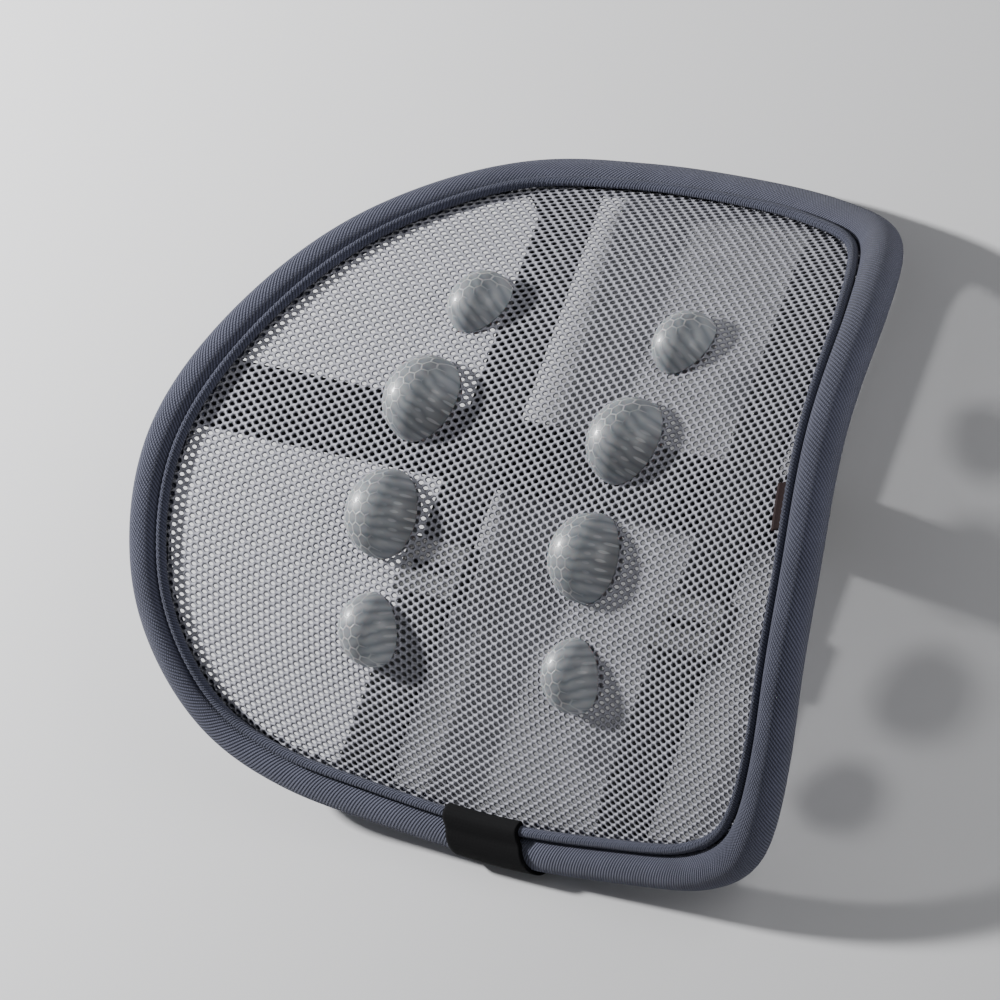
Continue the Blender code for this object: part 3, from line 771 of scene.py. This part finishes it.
def make_tab():
    off = TAB_GAP + TAB_THICKNESS / 2
    inner = -PIPING_INWARD - PIPING_RADIUS - off
    fold = [(inner, TAB_INNER_END), (inner, PIPING_FORWARD)]
    fold += [(-PIPING_INWARD + out, PIPING_FORWARD + PIPING_RADIUS + up) for out, up in TAB_OVER_PIPING]
    wrap = np.stack(oval(EDGE_HALF_WIDTH + off, EDGE_HALF_DEPTH + off, *TAB_WRAP, 15), axis=1)
    section, length = bent_line(fold + [tuple(point) for point in wrap], 0.0006)
    half = TAB_WIDTH / 2 / OUTLINE_LENGTH
    way = np.linspace(JOINT - half, JOINT + half, 40)[:, None]
    places = at_ring(way, section[None, :, 0], section[None, :, 1])
    tab = cloth_grid("joint_cover", places, (TAB_WIDTH, length), tab_cloth, TAB_THICKNESS)
    keep(tab, replaces=["joint_tab"])


def make_label():
    half = LABEL_LENGTH / 2 / OUTLINE_LENGTH
    at = side_part_way(LABEL_AT)
    way = np.broadcast_to(np.linspace(at - half, at + half, 24)[:, None], (24, 9))
    inset = np.broadcast_to(np.linspace(LABEL_INSET[0] - LABEL_TUCK, LABEL_INSET[1], 9)[None], (24, 9))
    flat = edge_points(way, inset)
    width = LABEL_INSET[1] - LABEL_INSET[0] + LABEL_TUCK
    shown = (inset - LABEL_INSET[0]) / (LABEL_INSET[1] - LABEL_INSET[0])
    lift = LABEL_LIFT + np.where(shown < 0, LABEL_SINK * shown, LABEL_CURL * shown ** 2)
    label = cloth_grid("side_label_cloth", panel_points(flat[..., 0], flat[..., 1], lift),
                       (LABEL_LENGTH, width), label_cloth, LABEL_THICKNESS)
    keep(label, replaces=["side_label"])


tape = make_edge()
net = keep(make_net(), replaces=["mesh_panel"])
following = np.roll(OUTLINE, -1, axis=0)
flat_area = 0.5 * abs(np.sum(OUTLINE[:, 0] * following[:, 1] - following[:, 0] * OUTLINE[:, 1]))
flat_area -= OUTLINE_LENGTH * NET_SEAM
make_domes()
make_straps()
make_tab()
make_label()

for node, material in (("frame_wire", spring_steel), ("wire_ferrule", spring_steel),
                       ("foam_sleeve", sleeve_foam), ("slider_left", slider_plastic),
                       ("slider_right", slider_plastic)):
    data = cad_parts[node].data
    data.materials.clear()
    data.materials.append(material)


# ---- floor, light and camera ----

def make_floor():
    body = bmesh.new()
    bmesh.ops.create_grid(body, x_segments=1, y_segments=1, size=12.0)
    material, tree, shader = start_material("pale_floor", Roughness=0.9)
    shader.inputs["Base Color"].default_value = (0.70, 0.70, 0.71, 1.0)
    floor = finish_piece("floor", body, material, smooth=False)


def add_light(name, towards, distance, size, power):
    """A square soft light that faces the middle of the support."""
    data = bpy.data.lights.new(name, "AREA")
    data.shape = "SQUARE"
    data.size = size
    data.energy = power
    light = bpy.data.objects.new(name, data)
    bpy.context.scene.collection.objects.link(light)
    away = Vector(towards).normalized()
    light.location = away * distance + Vector((0, 0, 0.05))
    light.rotation_mode = "QUATERNION"
    light.rotation_quaternion = away.to_track_quat("Z", "Y")


def make_world(strength):
    world = bpy.data.worlds.new("studio")
    world.use_nodes = True
    world.node_tree.nodes["Background"].inputs[0].default_value = (0.93, 0.95, 1.0, 1.0)
    world.node_tree.nodes["Background"].inputs[1].default_value = strength
    bpy.context.scene.world = world


def make_camera():
    azimuth, elevation, roll = (math.radians(angle) for angle in (VIEW_AZIMUTH, VIEW_ELEVATION, VIEW_ROLL))
    back = Vector((math.sin(azimuth) * math.cos(elevation), -math.cos(azimuth) * math.cos(elevation),
                   math.sin(elevation)))
    level = Vector((math.cos(azimuth), math.sin(azimuth), 0))
    upright = back.cross(level)
    right = math.cos(roll) * level + math.sin(roll) * upright
    up = -math.sin(roll) * level + math.cos(roll) * upright
    data = bpy.data.cameras.new("view")
    data.lens = VIEW_LENS
    data.sensor_width = 36.0
    data.clip_end = 100.0
    camera = bpy.data.objects.new("view", data)
    bpy.context.scene.collection.objects.link(camera)
    turn = Matrix((right, up, back)).transposed()
    position = back * VIEW_DISTANCE + right * VIEW_AIM[0] + up * VIEW_AIM[1]
    camera.matrix_world = Matrix.Translation(position) @ turn.to_4x4()
    bpy.context.scene.camera = camera


make_floor()
add_light("key", (-1.55, 0.10, 1.0), 1.4, 0.12, 37.0)
add_light("fill", (2.0, 0.6, 1.0), 3.0, 1.4, 40.0)
make_world(0.13)
make_camera()
